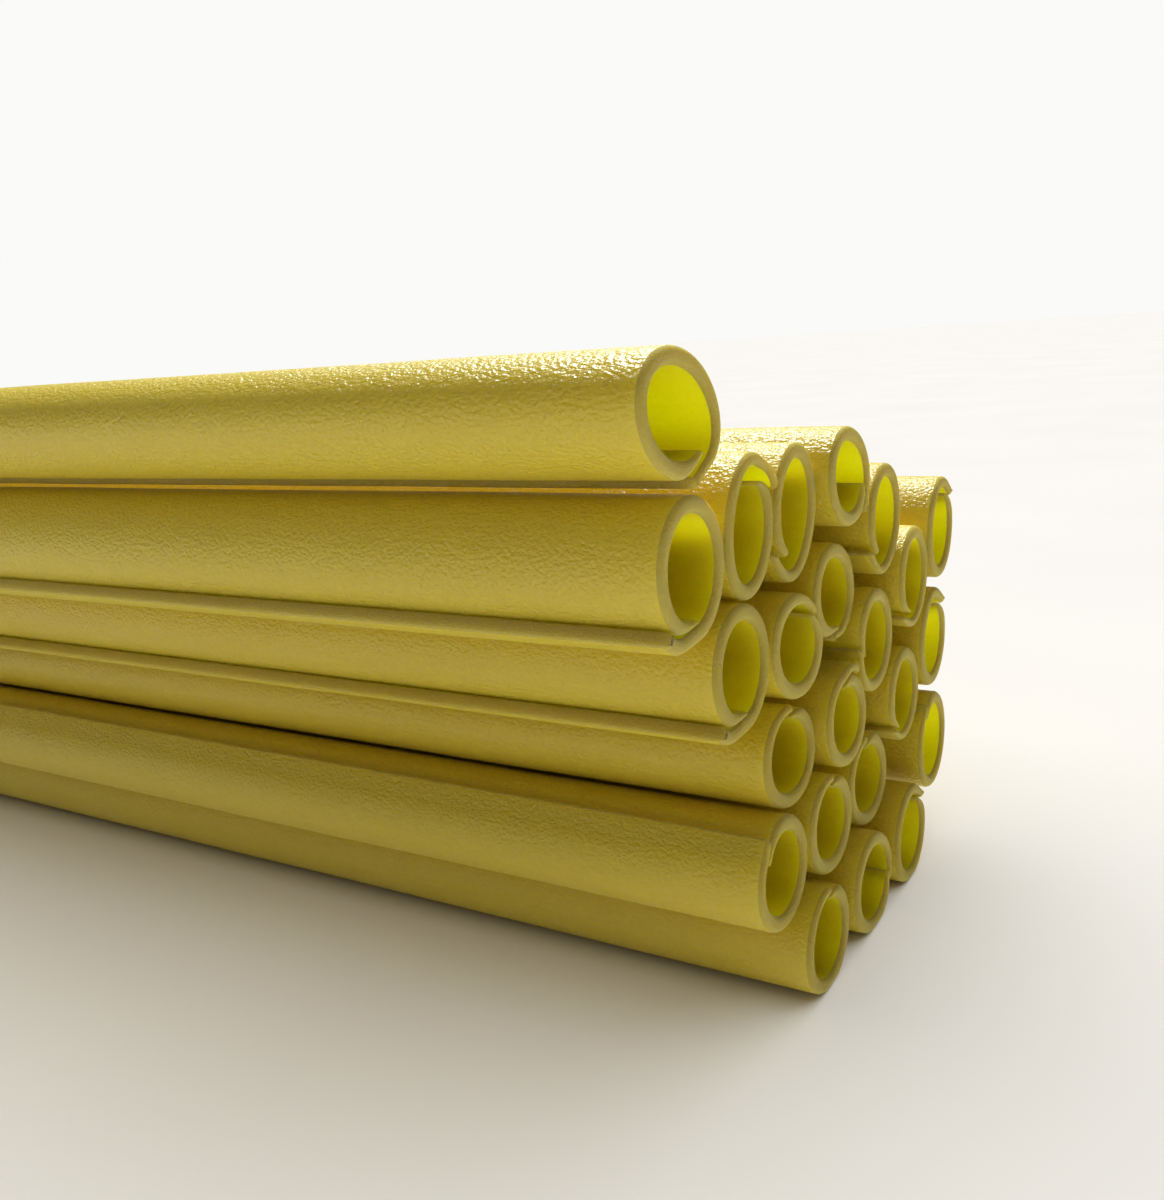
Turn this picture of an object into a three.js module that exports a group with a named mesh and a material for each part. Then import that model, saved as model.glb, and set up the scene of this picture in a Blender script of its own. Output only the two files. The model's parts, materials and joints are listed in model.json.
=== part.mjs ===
// A stack of slit foam tubes: soft yellow polyethylene-foam sleeves, each split along its whole
// length so that it snaps over a pipe or a rail. The two lips of a split overlap a little.
// The sleeves lie loose on each other, all along X, with their cut ends at +X. Each has a rough
// place in the stack, and settle() finds where it comes to lie clear of its neighbours.
// Millimetres, +Z up, the floor at Z = 0.

import * as THREE from 'three';

// Driving dimensions
const TUBE_LENGTH = 2000;   // the length that the sleeves are cut to
const WALL = 9;             // thickness of the foam
const LIP_TIP = 2.5;        // usual thickness left at the tip of the inner lip
const LIP_BEVEL = 45;       // degrees over which the inner lip thins down to its tip
const LIP_END = 5;          // usual thickness left at the end of the outer lip
const LIP_GAP = 0.7;        // clearance between the two lips
const LIFT_START = 270;     // degrees round from the inner tip where the outer lip starts to lift
const CURL_SPAN = 100;      // degrees over which a curling inner lip bends inwards
const FLARE_START = 250;    // degrees round where an opening outer lip starts to swing out
const FULL_TURN = 360;
const ANGLE_STEP = 10;      // degrees between the points of an outline
const SQUASH_TURN = 18;     // degrees, clockwise from +X: the lean of the squashed sections
const CLEARANCE = 0.6;      // the least gap between two sleeves
const REACH = 90;           // sleeves with their centres further apart than this can't touch
const SETTLE_ROUNDS = 160;
const HOME_PULL = 0.02;     // the share of its way back that a pushed sleeve moves in a round

// Every sleeve: the rough place of its centre across (y) and up (z), its bore's width and height,
// the clock angle of the inner lip's tip (slit), the overlap of the lips, how far the inner lip
// curls in and the outer lip flares out, the thickness of the outer lip's end (lip) and of the
// inner lip's tip where they aren't the usual ones, and how far the sleeve's end stands out of
// the stack. A sleeve with a foot lies on the floor, and is pressed flat there.
const TUBES = [
  { name: 'foam_tube_row1_1', y: 0, z: 31, foot: true, bore: [52, 46], slit: 345, overlap: 6,
    out: 19 },
  { name: 'foam_tube_row1_2', y: 76, z: 31, foot: true, bore: [56, 46], slit: 80, overlap: 14,
    out: 22 },
  { name: 'foam_tube_row1_3', y: 152, z: 32, foot: true, bore: [52, 48], slit: 20, overlap: 20,
    lip: 7, out: 24 },

  { name: 'foam_tube_row2_1', y: -40, z: 88, bore: [51, 46], slit: 285, overlap: 24, out: 9 },
  { name: 'foam_tube_row2_2', y: 31, z: 88, bore: [54, 43], slit: 345, overlap: 6, out: 11 },
  { name: 'foam_tube_row2_3', y: 105, z: 88, bore: [58, 43], slit: 330, overlap: 10, out: 10 },
  { name: 'foam_tube_row2_4', y: 216, z: 78, bore: [50, 52], slit: 300, overlap: 16, out: 22 },

  { name: 'foam_tube_row3_1', y: -13, z: 145, bore: [58, 41], slit: 345, overlap: 6, out: 4 },
  { name: 'foam_tube_row3_2', y: 60, z: 143, bore: [52, 40], slit: 330, overlap: 50, lip: 6,
    out: 12 },
  { name: 'foam_tube_row3_3', y: 167, z: 127, bore: [48, 46], slit: 200, overlap: 16, out: 16 },
  { name: 'foam_tube_row3_4', y: 230, z: 150, bore: [47, 51], slit: 15, overlap: 22, curl: 1,
    flare: 1, lip: 7.5, out: 19 },

  { name: 'foam_tube_row4_1', y: -71, z: 213, bore: [50, 46], slit: 160, overlap: 48, lip: 8.5,
    out: 3 },
  { name: 'foam_tube_row4_2', y: 1, z: 204, bore: [58, 41], slit: 30, overlap: 10, out: 5 },
  { name: 'foam_tube_row4_3', y: 68, z: 219, bore: [52, 41], slit: 160, overlap: 12, out: 3 },
  { name: 'foam_tube_row4_4', y: 121, z: 177, bore: [50, 49], slit: 240, overlap: 16, out: 11 },
  { name: 'foam_tube_row4_5', y: 188, z: 205, bore: [46, 51], slit: 188, overlap: 26, curl: 2,
    flare: 1, lip: 5, out: 17 },

  { name: 'foam_tube_row5_1', y: -115, z: 272, bore: [50, 49], slit: 158, overlap: 52, lip: 8.5,
    out: 0 },
  { name: 'foam_tube_row5_2', y: -50, z: 278, bore: [41, 55], slit: 8, overlap: 46, curl: 5,
    flare: 3, lip: 6, out: 1 },
  { name: 'foam_tube_row5_3', y: 14, z: 278, bore: [44, 56], slit: 198, overlap: 30, curl: 4,
    flare: 1, lip: 6, tip: 5, out: 0 },
  { name: 'foam_tube_row5_4', y: 80, z: 286, bore: [53, 41], slit: 88, overlap: 30, curl: 3,
    flare: 1, lip: 6.5, out: 9 },
  { name: 'foam_tube_row5_5', y: 143, z: 252, bore: [46, 52], slit: 205, overlap: 20, curl: 2,
    lip: 5, tip: 5, out: 11 },
  { name: 'foam_tube_row5_6', y: 251, z: 226, bore: [46, 53], slit: 15, overlap: 24, curl: 1,
    flare: 1, lip: 7.5, out: 19 },

  { name: 'foam_tube_row6_1', y: -122, z: 341, bore: [64, 41], slit: 128, overlap: 26, curl: 4,
    lip: 5.5, out: 1 },
];

const radians = THREE.MathUtils.degToRad;
const smooth = THREE.MathUtils.smoothstep;

// How far the foam's inner and outer faces stand off the bore, at an angle round from the tip of
// the inner lip. Past a full turn the outer lip lies over the inner one.
function wallFaces(angle, sweep, { curl = 0, flare = 0, lip = LIP_END, tip = LIP_TIP }) {
  const bend = -curl * (1 - Math.min(angle / CURL_SPAN, 1)) ** 2
    + flare * Math.max((angle - FLARE_START) / (sweep - FLARE_START), 0) ** 2;
  const past = smooth(angle - FULL_TURN, 0, LIP_BEVEL);
  const lift = (tip + LIP_GAP) * smooth(angle, LIFT_START, FULL_TURN) + (WALL - tip) * past;
  const tipSide = tip + (WALL - tip) * smooth(angle, 0, LIP_BEVEL);
  const lipSide = lift + WALL - (WALL - lip) * smooth(angle, LIFT_START, sweep);
  return { inner: bend + lift, outer: bend + (angle < FULL_TURN / 2 ? tipSide : lipSide) };
}

// The two faces of one sleeve's wall, from the inner lip's tip round to the outer lip's end.
function tubeFaces(tube) {
  const sweep = FULL_TURN + tube.overlap;
  const steps = Math.round(sweep / ANGLE_STEP);
  const outerFace = [];
  const innerFace = [];
  for (let i = 0; i <= steps; i += 1) {
    const angle = sweep * i / steps;
    const faces = wallFaces(angle, sweep, tube);
    const clock = radians(tube.slit + angle);
    for (const [side, offset] of [[outerFace, faces.outer], [innerFace, faces.inner]]) {
      const point = new THREE.Vector2(
        (tube.bore[0] / 2 + offset) * Math.sin(clock),
        (tube.bore[1] / 2 + offset) * Math.cos(clock),
      );
      point.rotateAround(new THREE.Vector2(), -radians(SQUASH_TURN));
      if (tube.foot) point.y = Math.max(point.y, -tube.z);
      side.push(point);
    }
  }
  return { outerFace, innerFace };
}

// The part of a sleeve's outer face that its own lip doesn't cover, as a closed outline.
function silhouette(tube) {
  const { outerFace } = tubeFaces(tube);
  const covered = tube.overlap / (FULL_TURN + tube.overlap) * (outerFace.length - 1);
  return outerFace.slice(Math.ceil(covered));
}

// How far a point is from a closed outline, negative where the point is inside it.
function distanceOutside(point, outline) {
  const edge = new THREE.Vector2();
  const away = new THREE.Vector2();
  let nearest = Infinity;
  let inside = false;
  outline.forEach((start, i) => {
    const end = outline[(i + 1) % outline.length];
    edge.subVectors(end, start);
    away.subVectors(point, start);
    const along = THREE.MathUtils.clamp(away.dot(edge) / edge.lengthSq(), 0, 1);
    nearest = Math.min(nearest, away.addScaledVector(edge, -along).length());
    if ((start.y > point.y) !== (end.y > point.y)) {
      const crossing = start.x + edge.x * (point.y - start.y) / edge.y;
      inside = crossing > point.x ? !inside : inside;
    }
  });
  return inside ? -nearest : nearest;
}

// The gap between two sleeves, with the second one's centre at between from the first one's.
function gapBetween(first, second, between) {
  const moved = second.outline.map((point) => point.clone().add(between));
  return Math.min(
    ...first.outline.map((point) => distanceOutside(point, moved)),
    ...moved.map((point) => distanceOutside(point, first.outline)),
  );
}

function shift(sleeve, step, share) {
  sleeve.place.x += step.x * share;
  if (!sleeve.tube.foot) sleeve.place.y += step.y * share;
}

// Where the sleeves come to lie. Sleeves that are too close push each other apart, and in the
// first half of the rounds each one is also drawn back towards its rough place.
function settle(tubes) {
  const sleeves = tubes.map((tube) => ({
    tube,
    home: new THREE.Vector2(tube.y, tube.z),
    place: new THREE.Vector2(tube.y, tube.z),
    outline: silhouette(tube),
  }));
  for (let round = 0; round < SETTLE_ROUNDS; round += 1) {
    for (const [i, first] of sleeves.entries()) {
      if (round < SETTLE_ROUNDS / 2) first.place.lerp(first.home, HOME_PULL);
      for (const second of sleeves.slice(i + 1)) {
        const between = second.place.clone().sub(first.place);
        if (between.length() > REACH) continue;
        const missing = CLEARANCE - gapBetween(first, second, between);
        if (missing <= 0) continue;
        between.normalize();
        shift(first, between, -missing / 2);
        shift(second, between, missing / 2);
      }
    }
  }
  return sleeves;
}

function makeTube({ tube, place }) {
  const { outerFace, innerFace } = tubeFaces(tube);
  const section = new THREE.Shape([...outerFace, ...innerFace.reverse()]);
  const geometry = new THREE.ExtrudeGeometry(section, {
    depth: TUBE_LENGTH,
    steps: 1,
    bevelEnabled: false,
  });
  // The section's own x, y and depth become the stack's Y, Z and X.
  geometry.applyMatrix4(new THREE.Matrix4().makeBasis(
    new THREE.Vector3(0, 1, 0),
    new THREE.Vector3(0, 0, 1),
    new THREE.Vector3(1, 0, 0),
  ));
  const foam = new THREE.MeshStandardMaterial({ color: 0xc9b83a, roughness: 0.85, metalness: 0 });
  const mesh = new THREE.Mesh(geometry, foam);
  mesh.name = tube.name;
  mesh.position.set(tube.out - TUBE_LENGTH / 2, place.x, place.y);
  return mesh;
}

const stack = new THREE.Group();
for (const sleeve of settle(TUBES)) {
  stack.add(makeTube(sleeve));
}

// The origin is on the floor, under the middle of the stack.
const box = new THREE.Box3().setFromObject(stack);
const middle = box.getCenter(new THREE.Vector3());
stack.position.set(-middle.x, -middle.y, -box.min.z);

export default stack;
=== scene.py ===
"""A loose stack of slit polyethylene-foam tubes: the looks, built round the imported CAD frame."""

import json
import math

import bmesh
import bpy
import numpy as np
from mathutils import Matrix, Vector


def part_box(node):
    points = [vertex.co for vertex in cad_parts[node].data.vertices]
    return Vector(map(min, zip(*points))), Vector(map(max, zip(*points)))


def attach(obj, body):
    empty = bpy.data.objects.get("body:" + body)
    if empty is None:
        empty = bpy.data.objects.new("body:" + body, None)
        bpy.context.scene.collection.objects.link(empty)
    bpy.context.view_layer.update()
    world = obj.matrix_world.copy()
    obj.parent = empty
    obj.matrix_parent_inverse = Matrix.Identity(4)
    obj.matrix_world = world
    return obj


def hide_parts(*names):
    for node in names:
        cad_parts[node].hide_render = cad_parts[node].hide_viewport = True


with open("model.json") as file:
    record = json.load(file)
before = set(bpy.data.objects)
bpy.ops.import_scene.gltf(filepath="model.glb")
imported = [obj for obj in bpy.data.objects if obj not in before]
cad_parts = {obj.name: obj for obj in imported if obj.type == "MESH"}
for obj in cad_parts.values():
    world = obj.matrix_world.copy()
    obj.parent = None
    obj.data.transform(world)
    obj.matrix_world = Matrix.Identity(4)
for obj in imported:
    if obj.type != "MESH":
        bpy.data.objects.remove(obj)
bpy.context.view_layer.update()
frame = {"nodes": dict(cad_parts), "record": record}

# Sizes in metres
SPLIT = 3               # fine points for each step of the CAD outline
RING_STEP = 0.012       # spacing of the rings along a tube
EDGE_ROUND = 0.0034     # how far the soft cut ends are rounded off, at most
EDGE_SHARE = 0.40       # and the share of the wall's thickness that the rounding may take
EDGE_RINGS = 7
LIP_POINTS = 9          # points round the edge of a lip
CORNER_TURN = math.radians(45)
MERGE = 1e-6            # corners closer than this are one
END_SLACK = 1e-5        # how far from the end plane an edge still counts as on it
SHRINK = 0.00015        # how far the foam stays inside the CAD's faces
LOWEST = 0.0002         # and above the floor
BREATHE = 0.00015       # how much the outline swells and shrinks along a tube,
BREATHE_WAVE = 0.31     # and over what length
SLIDE = 0.0002          # how far a tube wavers sideways
SLIDE_WAVE = 0.55
FLOOR_HALF = 40.0

SKY_STRENGTH = 0.18
KEY_STRENGTH = 4.2
KEY_SPREAD = 9.0       # degrees across
KEY_FROM = (-0.32, 0.52, 0.80)
FLOOR_STRENGTH = 3.2
FLOOR_SPREAD = 110.0
FLOOR_FROM = (-0.1, 0.3, 0.95)
BACKDROP = (0.955, 0.955, 0.94, 1.0)

CAMERA_PLACE = (1.2110, -0.6338, 0.3763)
CAMERA_LENS = 34.18     # mm, on a sensor 36 mm wide
CAMERA_AZIMUTH = 31.92  # degrees
CAMERA_ELEVATION = 12.86
CAMERA_ROLL = 4.03

SKIN, BORE, CUT = range(3)


# ---------------------------------------------------------------- materials

class Nodes:
    """Adds and links shader nodes in one material."""

    def __init__(self, name):
        self.material = bpy.data.materials.new(name)
        self.material.use_nodes = True
        self.tree = self.material.node_tree
        self.shader = self.tree.nodes["Principled BSDF"]

    def add(self, kind, **settings):
        node = self.tree.nodes.new(kind)
        for key, value in settings.items():
            setattr(node, key, value)
        return node

    def link(self, source, target):
        self.tree.links.new(source, target)

    def place(self, stretch):
        """Object coordinates, drawn out along the tube by 1 / stretch[0]."""
        coords = self.add("ShaderNodeTexCoord")
        mapping = self.add("ShaderNodeMapping")
        mapping.inputs["Scale"].default_value = stretch
        self.link(coords.outputs["Object"], mapping.inputs["Vector"])
        return mapping.outputs["Vector"]

    def noise(self, place, scale, detail=2.0, roughness=0.5):
        node = self.add("ShaderNodeTexNoise")
        node.inputs["Scale"].default_value = scale
        node.inputs["Detail"].default_value = detail
        node.inputs["Roughness"].default_value = roughness
        self.link(place, node.inputs["Vector"])
        return node.outputs["Fac"]

    def cells(self, place, scale, feature="SMOOTH_F1", smoothness=0.6):
        node = self.add("ShaderNodeTexVoronoi", feature=feature)
        node.inputs["Scale"].default_value = scale
        if feature == "SMOOTH_F1":
            node.inputs["Smoothness"].default_value = smoothness
        self.link(place, node.inputs["Vector"])
        return node.outputs["Distance"]

    def math(self, operation, first, second):
        node = self.add("ShaderNodeMath", operation=operation)
        for socket, value in zip(node.inputs, (first, second)):
            if isinstance(value, (int, float)):
                socket.default_value = value
            else:
                self.link(value, socket)
        return node.outputs["Value"]

    def ramp(self, factor, stops):
        node = self.add("ShaderNodeValToRGB")
        elements = node.color_ramp.elements
        while len(elements) < len(stops):
            elements.new(0.5)
        for element, (position, colour) in zip(elements, stops):
            element.position = position
            element.color = (*colour, 1.0)
        self.link(factor, node.inputs["Fac"])
        return node.outputs["Color"]

    def spread(self, factor, low, high):
        """factor, from 0 to 1, spread over low to high."""
        node = self.add("ShaderNodeMapRange")
        node.inputs["To Min"].default_value = low
        node.inputs["To Max"].default_value = high
        self.link(factor, node.inputs["Value"])
        return node.outputs["Result"]

    def tint(self, colour, value):
        """colour, made lighter or darker by value."""
        node = self.add("ShaderNodeVectorMath", operation="SCALE")
        self.link(colour, node.inputs[0])
        self.link(value, node.inputs["Scale"])
        return node.outputs["Vector"]

    def bump(self, height, distance, strength, below=None):
        node = self.add("ShaderNodeBump")
        node.inputs["Strength"].default_value = strength
        node.inputs["Distance"].default_value = distance
        self.link(height, node.inputs["Height"])
        if below is not None:
            self.link(below, node.inputs["Normal"])
        return node.outputs["Normal"]


def foam(name, pale, deep, depth, radius, roughness, gloss):
    """The start that the foam's three faces share: a soft, light-soaked yellow that differs a
    little from tube to tube and from place to place."""
    nodes = Nodes(name)
    shader = nodes.shader
    shader.inputs["Subsurface Weight"].default_value = 1.0
    shader.inputs["Subsurface Radius"].default_value = radius
    shader.inputs["Subsurface Scale"].default_value = depth
    shader.inputs["IOR"].default_value = 1.45
    shader.inputs["Specular IOR Level"].default_value = gloss
    wide = nodes.noise(nodes.place((3.0, 9.0, 9.0)), 1.0, 3.0)
    fine = nodes.noise(nodes.place((60.0, 220.0, 220.0)), 1.0, 3.0, 0.6)
    tone = nodes.add("ShaderNodeAttribute", attribute_name="tone").outputs["Fac"]
    mixed = nodes.math("ADD", nodes.math("MULTIPLY", wide, 0.45), nodes.math("MULTIPLY", fine, 0.2))
    mixed = nodes.math("ADD", mixed, nodes.math("MULTIPLY", tone, 0.35))
    colour = nodes.ramp(mixed, ((0.3, deep), (0.7, pale)))
    grain = nodes.noise(nodes.place((500.0, 800.0, 800.0)), 1.0, 2.0)
    colour = nodes.tint(colour, nodes.spread(grain, 0.94, 1.06))
    nodes.link(colour, shader.inputs["Base Color"])
    nodes.link(nodes.spread(fine, *roughness), shader.inputs["Roughness"])
    return nodes


def skin_material():
    """The extruded skin: pebbled like orange peel, over low, drawn-out swells."""
    nodes = foam("foam_skin", (0.79, 0.62, 0.055), (0.72, 0.55, 0.038), 0.020,
                 (0.95, 1.05, 0.05), (0.34, 0.46), 0.65)
    shader = nodes.shader
    shader.inputs["Coat Weight"].default_value = 0.06
    shader.inputs["Coat Roughness"].default_value = 0.2
    shader.inputs["Subsurface Weight"].default_value = 0.7
    pebbles = nodes.noise(nodes.place((380.0, 500.0, 500.0)), 1.0, 1.5, 0.5)
    swells = nodes.noise(nodes.place((110.0, 260.0, 260.0)), 1.0, 1.0, 0.5)
    normal = nodes.bump(swells, 0.0006, 0.5)
    normal = nodes.bump(pebbles, 0.0014, 1.0, normal)
    nodes.link(normal, shader.inputs["Coat Normal"])
    nodes.link(normal, nodes.shader.inputs["Normal"])
    return nodes.material


def bore_material():
    """The bore's smoother skin, a more saturated yellow."""
    nodes = foam("foam_bore", (0.86, 0.71, 0.014), (0.78, 0.62, 0.010), 0.030,
                 (0.9, 1.15, 0.04), (0.55, 0.68), 0.25)
    drag = nodes.noise(nodes.place((30.0, 260.0, 260.0)), 1.0, 3.0, 0.55)
    pores = nodes.cells(nodes.place((420.0, 520.0, 520.0)), 1.0)
    normal = nodes.bump(drag, 0.0008, 0.5)
    normal = nodes.bump(pores, 0.0004, 0.5, normal)
    nodes.link(normal, nodes.shader.inputs["Normal"])
    return nodes.material


def cut_material():
    """The knife-cut faces: matt and a little darker, with the foam's fine open cells showing."""
    nodes = foam("foam_cut_face", (0.58, 0.48, 0.12), (0.50, 0.40, 0.08), 0.012,
                 (1.0, 0.9, 0.1), (0.7, 0.85), 0.25)
    cells = nodes.cells(nodes.place((900.0, 900.0, 900.0)), 1.0, "F1")
    normal = nodes.bump(cells, 0.0006, 0.8)
    nodes.link(normal, nodes.shader.inputs["Normal"])
    return nodes.material


# ---------------------------------------------------------------- geometry

def end_outline(node):
    """The outline of a node's cut end as an array of (y, z), in order round it."""
    bm = bmesh.new()
    bm.from_mesh(node.data)
    bmesh.ops.remove_doubles(bm, verts=bm.verts, dist=MERGE)
    bm.normal_update()
    end = max(v.co.x for v in bm.verts)
    following = {}
    for edge in bm.edges:
        caps = [f for f in edge.link_faces if f.normal.x > 0.9]
        if len(caps) != 1 or any(end - v.co.x > END_SLACK for v in edge.verts):
            continue
        for loop in edge.link_loops:
            if loop.face in caps:
                following[loop.vert.index] = loop.link_loop_next.vert.index
    bm.verts.ensure_lookup_table()
    start = at = next(iter(following))
    outline = []
    while not outline or at != start:
        outline.append((bm.verts[at].co.y, bm.verts[at].co.z))
        at = following[at]
    bm.free()
    return np.array(outline)


def wall_faces(outline):
    """The outline's outer and inner curves, both from the inner lip's tip to the outer lip."""
    back = outline - np.roll(outline, 1, axis=0)
    ahead = np.roll(outline, -1, axis=0) - outline
    cross = back[:, 0] * ahead[:, 1] - back[:, 1] * ahead[:, 0]
    turn = np.abs(np.arctan2(cross, (back * ahead).sum(axis=1)))
    corners = np.nonzero(turn > CORNER_TURN)[0]
    if len(corners) != 4:
        raise ValueError(f"an outline has {len(corners)} corners")
    runs = []
    for a, b in zip(corners, np.roll(corners, -1)):
        count = (b - a) % len(outline) + 1
        runs.append(outline[(a + np.arange(count)) % len(outline)])
    long_runs = sorted(runs, key=path_length)[2:]
    inner, outer = long_runs
    # The tip is the thinner end of the wall.
    inner = inner[::-1]
    if np.linalg.norm(outer[0] - inner[0]) > np.linalg.norm(outer[-1] - inner[-1]):
        outer, inner = outer[::-1], inner[::-1]
    return outer, inner


def path_length(points):
    return float(np.linalg.norm(np.diff(points, axis=0), axis=1).sum())


def smoothed(points):
    """A smooth curve through the points, with SPLIT steps for each of theirs."""
    first = 2 * points[0] - points[1]
    last = 2 * points[-1] - points[-2]
    p = np.vstack([first, points, last])
    steps = np.linspace(0, 1, SPLIT, endpoint=False)[:, None]
    parts = []
    for a, b, c, d in zip(p, p[1:], p[2:], p[3:]):
        parts.append(0.5 * (2 * b + (c - a) * steps + (2 * a - 5 * b + 4 * c - d) * steps**2
                            + (3 * b - a - 3 * c + d) * steps**3))
    return np.vstack([*parts, points[-1:]])


def lip_edge(start, end, forward):
    """Points of the rounded edge that joins the wall's two faces, going past them by forward."""
    middle, half = (start + end) / 2, (start - end) / 2
    angles = np.linspace(0, math.pi, LIP_POINTS + 2)[1:-1, None]
    return middle + half * np.cos(angles) + forward * np.sin(angles) ** 0.6


def fine_section(node):
    """The closed fine outline of a tube as (y, z) points, and how many of them are on a face."""
    outer, inner = (smoothed(face) for face in wall_faces(end_outline(node)))
    tip = lip_edge(inner[1], outer[1], (outer[0] + inner[0] - outer[1] - inner[1]) / 2)
    end = lip_edge(outer[-2], inner[-2], (outer[-1] + inner[-1] - outer[-2] - inner[-2]) / 2)
    outer, inner = outer[1:-1], inner[1:-1]
    section = np.vstack([outer, end, inner[::-1], tip])
    section[:, 1] = np.maximum(section[:, 1], 0.0)
    return section, len(outer)


def outward(section):
    """The unit normals of a closed outline, pointing out of the foam."""
    along = np.roll(section, -1, axis=0) - np.roll(section, 1, axis=0)
    normal = np.stack([along[:, 1], -along[:, 0]], axis=1)
    normal /= np.linalg.norm(normal, axis=1)[:, None] + 1e-12
    y, z = section.T
    area = np.sum(y * np.roll(z, -1) - z * np.roll(y, -1))
    return normal * np.sign(area)


def rounding_room(section, face_count):
    """How far each point of the section may be drawn in at a cut end: less where the wall thins."""
    outer = section[:face_count]
    inner = section[face_count + LIP_POINTS:2 * face_count + LIP_POINTS][::-1]
    thickness = np.linalg.norm(outer - inner, axis=1)
    room = np.minimum(EDGE_ROUND, EDGE_SHARE * thickness)
    end, tip = np.full(LIP_POINTS, room[-1]), np.full(LIP_POINTS, room[0])
    return np.concatenate([room, end, room[::-1], tip])


def wander(rng, x, size, wavelength):
    """A slow seeded wave along the tube, at most about size."""
    total = np.zeros_like(x)
    for k in (1.0, 1.7, 2.9):
        total += np.sin(2 * math.pi * k * x / wavelength + rng.uniform(0, 2 * math.pi)) / k
    return total * size / 1.9


def tube_faces(ring_count, count, face_count):
    """The faces of a tube of ring_count rings of count points each, and their material slots."""
    faces, slots = [], []
    last_ring = (ring_count - 1) * count
    for r in range(ring_count - 1):
        for j in range(count):
            k = (j + 1) % count
            faces.append((r * count + j, r * count + k, (r + 1) * count + k, (r + 1) * count + j))
            on_outer = j < face_count - 1
            on_inner = face_count + LIP_POINTS <= j < 2 * face_count + LIP_POINTS - 1
            cap = r < EDGE_RINGS - 1 or r >= ring_count - EDGE_RINGS
            slots.append(CUT if cap else SKIN if on_outer else BORE if on_inner else CUT)
    # The end faces: quads across the wall, then one face behind each lip's edge.
    for base in (0, last_ring):
        across = 2 * face_count + LIP_POINTS - 1
        for j in range(face_count - 1):
            faces.append((base + j, base + j + 1, base + across - j - 1, base + across - j))
        faces.append(tuple(base + j for j in range(face_count - 1, face_count + LIP_POINTS + 1)))
        tip = [*range(across, count), 0]
        faces.append(tuple(base + j for j in tip))
        slots += [CUT] * (face_count + 1)
    return faces, slots


def make_tube(node, body, materials, seed):
    rng = np.random.default_rng(seed)
    section, face_count = fine_section(node)
    normals = outward(section)
    low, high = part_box(node.name)
    count = len(section)

    # Rings along the tube, with the cut edges rounded off at both ends.
    steps = int((high.x - low.x) / RING_STEP)
    body_x = np.linspace(low.x + EDGE_ROUND, high.x - EDGE_ROUND, steps)
    turn = np.linspace(0, math.pi / 2, EDGE_RINGS + 1)[1:]
    sink = 1 - np.cos(turn)
    reach = EDGE_ROUND * np.sin(turn)
    x = np.concatenate([(low.x + EDGE_ROUND - reach)[::-1], body_x, high.x - EDGE_ROUND + reach])
    inset = np.concatenate([sink[::-1], np.zeros(steps), sink])
    room = rounding_room(section, face_count)

    breathe = wander(rng, x, BREATHE, BREATHE_WAVE)
    slide = wander(rng, x, SLIDE, SLIDE_WAVE)
    rings = []
    for here, depth, swell, shift in zip(x, inset, breathe, slide):
        ring = section - normals * (depth * room + SHRINK - swell)[:, None]
        ring[:, 0] += shift
        ring[:, 1] = np.maximum(ring[:, 1], LOWEST)
        rings.append(np.column_stack([np.full(count, here), ring]))
    points = np.vstack(rings)

    faces, slots = tube_faces(len(rings), count, face_count)
    mesh = bpy.data.meshes.new(node.name + "_foam")
    mesh.from_pydata(points.tolist(), [], faces)
    mesh.polygons.foreach_set("material_index", slots)
    mesh.polygons.foreach_set("use_smooth", [True] * len(faces))
    for material in materials:
        mesh.materials.append(material)
    tone = mesh.attributes.new("tone", "FLOAT", "POINT")
    tone.data.foreach_set("value", np.full(len(points), rng.uniform(0.2, 0.8)))
    bm = bmesh.new()
    bm.from_mesh(mesh)
    bmesh.ops.recalc_face_normals(bm, faces=bm.faces)
    bm.to_mesh(mesh)
    bm.free()
    mesh.update()

    tube = bpy.data.objects.new(node.name + "_foam", mesh)
    bpy.context.scene.collection.objects.link(tube)
    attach(tube, body)
    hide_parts(node.name)
    return tube


# ---------------------------------------------------------------- stage

def make_floor():
    size = FLOOR_HALF
    mesh = bpy.data.meshes.new("studio_floor")
    corners = [(-size, -size, 0), (size, -size, 0), (size, size, 0), (-size, size, 0)]
    mesh.from_pydata(corners, [], [(0, 1, 2, 3)])
    nodes = Nodes("studio_floor")
    shade = nodes.noise(nodes.place((2.0, 2.0, 2.0)), 1.0, 2.0)
    colour = nodes.ramp(shade, ((0.3, (0.82, 0.82, 0.815)), (0.7, (0.85, 0.85, 0.845))))
    nodes.link(colour, nodes.shader.inputs["Base Color"])
    nodes.shader.inputs["Roughness"].default_value = 0.8
    mesh.materials.append(nodes.material)
    floor = bpy.data.objects.new("studio_floor", mesh)
    bpy.context.scene.collection.objects.link(floor)
    return floor


def make_world():
    """A soft pale sky for the light, and a near-white backdrop for the camera."""
    world = bpy.data.worlds.new("studio")
    bpy.context.scene.world = world
    world.use_nodes = True
    tree = world.node_tree
    sky = tree.nodes["Background"]
    sky.inputs["Color"].default_value = (1.0, 0.92, 0.87, 1.0)
    sky.inputs["Strength"].default_value = SKY_STRENGTH
    backdrop = tree.nodes.new("ShaderNodeBackground")
    backdrop.inputs["Color"].default_value = BACKDROP
    backdrop.inputs["Strength"].default_value = 1.0
    seen = tree.nodes.new("ShaderNodeLightPath")
    mix = tree.nodes.new("ShaderNodeMixShader")
    tree.links.new(seen.outputs["Is Camera Ray"], mix.inputs["Fac"])
    tree.links.new(sky.outputs["Background"], mix.inputs[1])
    tree.links.new(backdrop.outputs["Background"], mix.inputs[2])
    tree.links.new(mix.outputs["Shader"], tree.nodes["World Output"].inputs["Surface"])


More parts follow.
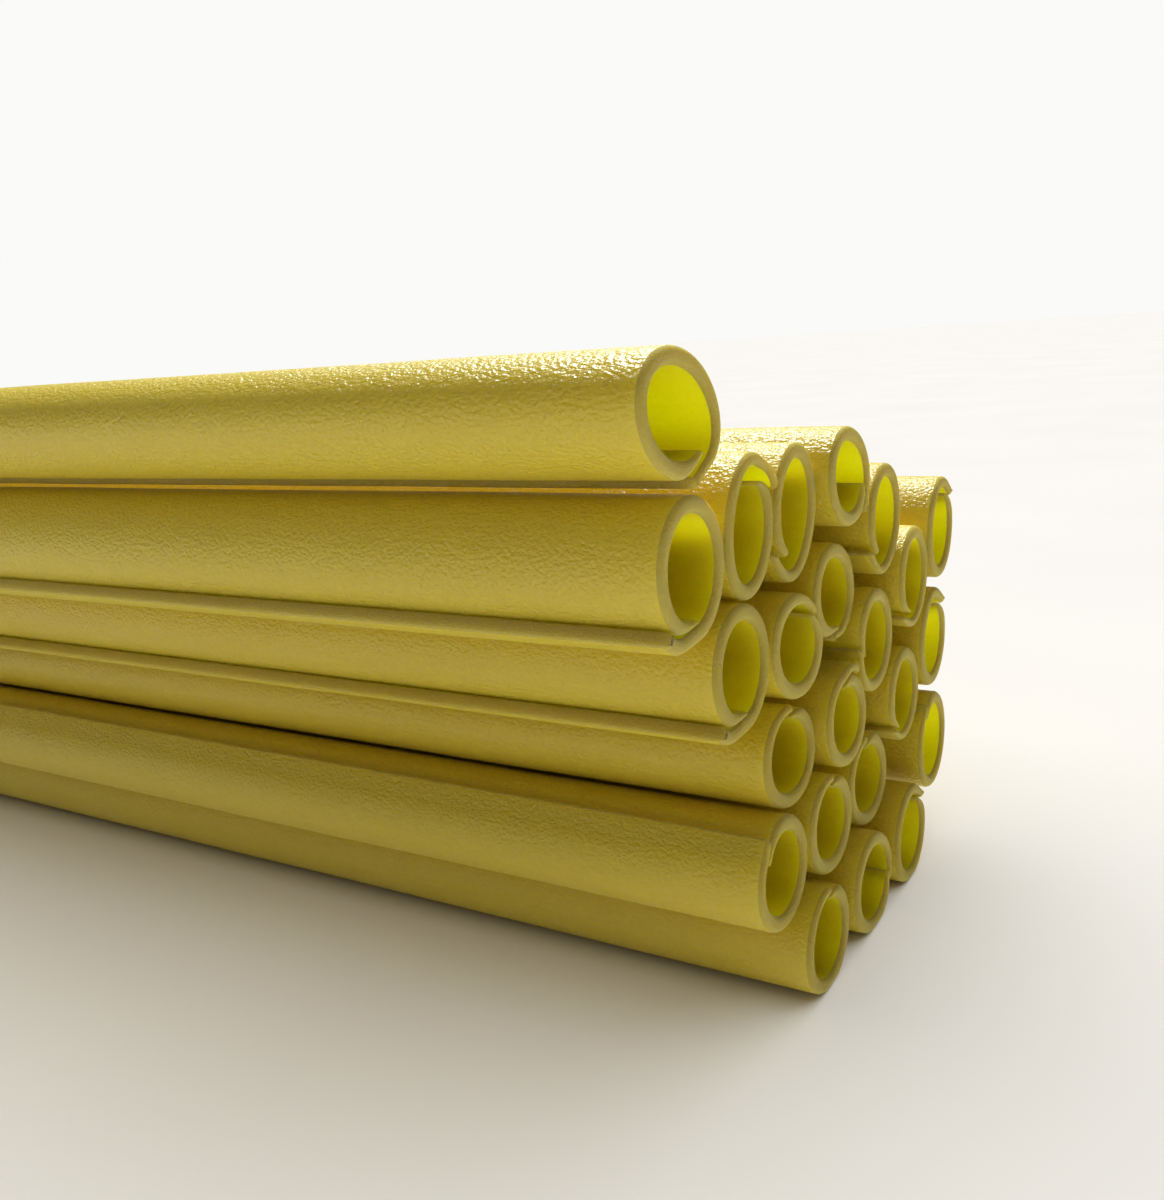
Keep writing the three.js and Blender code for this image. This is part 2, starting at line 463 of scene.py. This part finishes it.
def sun(name, power, spread, direction, receivers):
    """Parallel, soft light from high behind the stack, for some of the objects only."""
    light = bpy.data.lights.new(name, "SUN")
    light.energy = power
    light.angle = math.radians(spread)
    light.color = (1.0, 0.985, 0.945)
    lamp = bpy.data.objects.new(name, light)
    lamp.rotation_mode = "QUATERNION"
    lamp.rotation_quaternion = Vector(direction).to_track_quat("Z", "Y")
    bpy.context.scene.collection.objects.link(lamp)
    lit = bpy.data.collections.new(name + "_lights")
    for receiver in receivers:
        lit.objects.link(receiver)
    lamp.light_linking.receiver_collection = lit


def make_lights(tubes, floor):
    """A key that makes the foam glow, and a weaker, softer one on the floor."""
    sun("back_key", KEY_STRENGTH, KEY_SPREAD, KEY_FROM, tubes)
    sun("floor_key", FLOOR_STRENGTH, FLOOR_SPREAD, FLOOR_FROM, [floor])


def make_camera():
    """The camera near the tubes' seen ends, low down, looking back along the stack."""
    camera = bpy.data.cameras.new("camera")
    camera.sensor_width = 36.0
    camera.lens = CAMERA_LENS
    camera.clip_start = 0.02
    place = Vector(CAMERA_PLACE)
    azimuth = math.radians(CAMERA_AZIMUTH)
    elevation = math.radians(CAMERA_ELEVATION)
    roll = math.radians(CAMERA_ROLL)
    forward = Vector((-math.sin(azimuth) * math.cos(elevation),
                      math.cos(azimuth) * math.cos(elevation), -math.sin(elevation)))
    level = forward.cross(Vector((0, 0, 1))).normalized()
    turn = Matrix.Rotation(roll, 3, forward)
    right = turn @ level
    up = right.cross(forward)
    rotation = Matrix((right, up, -forward)).transposed()
    eye = bpy.data.objects.new("camera", camera)
    eye.matrix_world = Matrix.Translation(place) @ rotation.to_4x4()
    bpy.context.scene.collection.objects.link(eye)
    bpy.context.scene.camera = eye


def main():
    materials = [skin_material(), bore_material(), cut_material()]
    body_of = {}
    for body, nodes in frame["record"]["behaviour"]["bodies"].items():
        for name in nodes:
            body_of[name] = body
    tubes = []
    for seed, name in enumerate(sorted(body_of)):
        tubes.append(make_tube(frame["nodes"][name], body_of[name], materials, seed))
    floor = make_floor()
    make_world()
    make_lights(tubes, floor)
    make_camera()
    bpy.context.scene.view_settings.view_transform = "Standard"


main()
